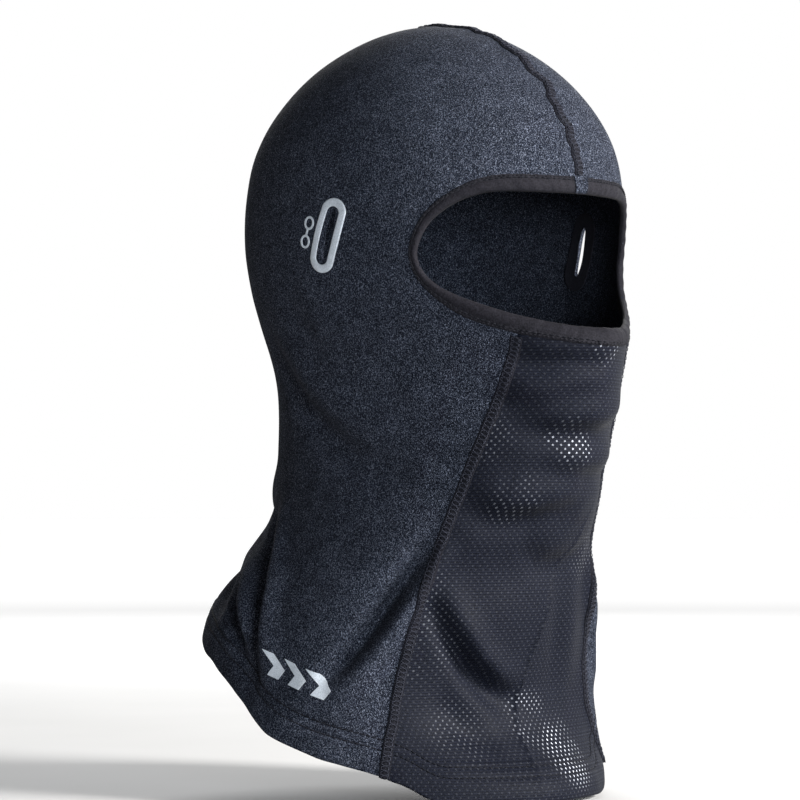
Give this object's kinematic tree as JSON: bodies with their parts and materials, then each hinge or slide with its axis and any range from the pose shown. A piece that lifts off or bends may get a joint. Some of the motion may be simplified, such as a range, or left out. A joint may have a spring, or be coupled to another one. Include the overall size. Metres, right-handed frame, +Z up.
{
  "type": "balaclava",
  "caption": "Close-fitting stretch balaclava with one oval eye opening, a perforated mesh panel over mouth and throat, flatlock seams and slots for glasses temples.",
  "frame": {"origin": "under the middle of the hood, level with the lowest point of the hem at the throat", "axes": "+Z up along the wearer's head and neck, the face looks along -Y, the wearer's right is -X"},
  "size_m": [0.1894, 0.233, 0.3499],
  "materials": {
    "jersey": "brushed, heathered navy-grey jersey",
    "mesh": "smooth ribbed mesh with fine perforations",
    "seam_tape": "flatlock cover threads, matt",
    "thread": "polyester sewing thread, slight sheen",
    "binding": "folded elastic tape, matt black",
    "join_patch": "heathered jersey",
    "reflective": "silver-grey reflective transfer, satin",
    "backing": "bonded knit patch",
    "label": "woven satin, blank"
  },
  "bodies": {
    "root": {"right_side_panel": "jersey", "left_side_panel": "jersey", "front_mesh_panel": "mesh", "crown_seam": "seam_tape", "right_front_seam": "seam_tape", "left_front_seam": "seam_tape", "crown_seam_threads": "thread", "right_front_seam_threads": "thread", "left_front_seam_threads": "thread", "eye_binding_stitching": "thread", "hem_stitching_lower": "thread", "hem_stitching_upper": "thread", "eye_binding": "binding", "eye_binding_join": "join_patch", "right_slot_ring": "reflective", "left_slot_ring": "reflective", "right_glasses_symbol": "reflective", "left_glasses_symbol": "reflective", "reflective_mark": "reflective", "right_slot_backing": "backing", "left_slot_backing": "backing", "care_label": "label"}
  },
  "joints": []
}
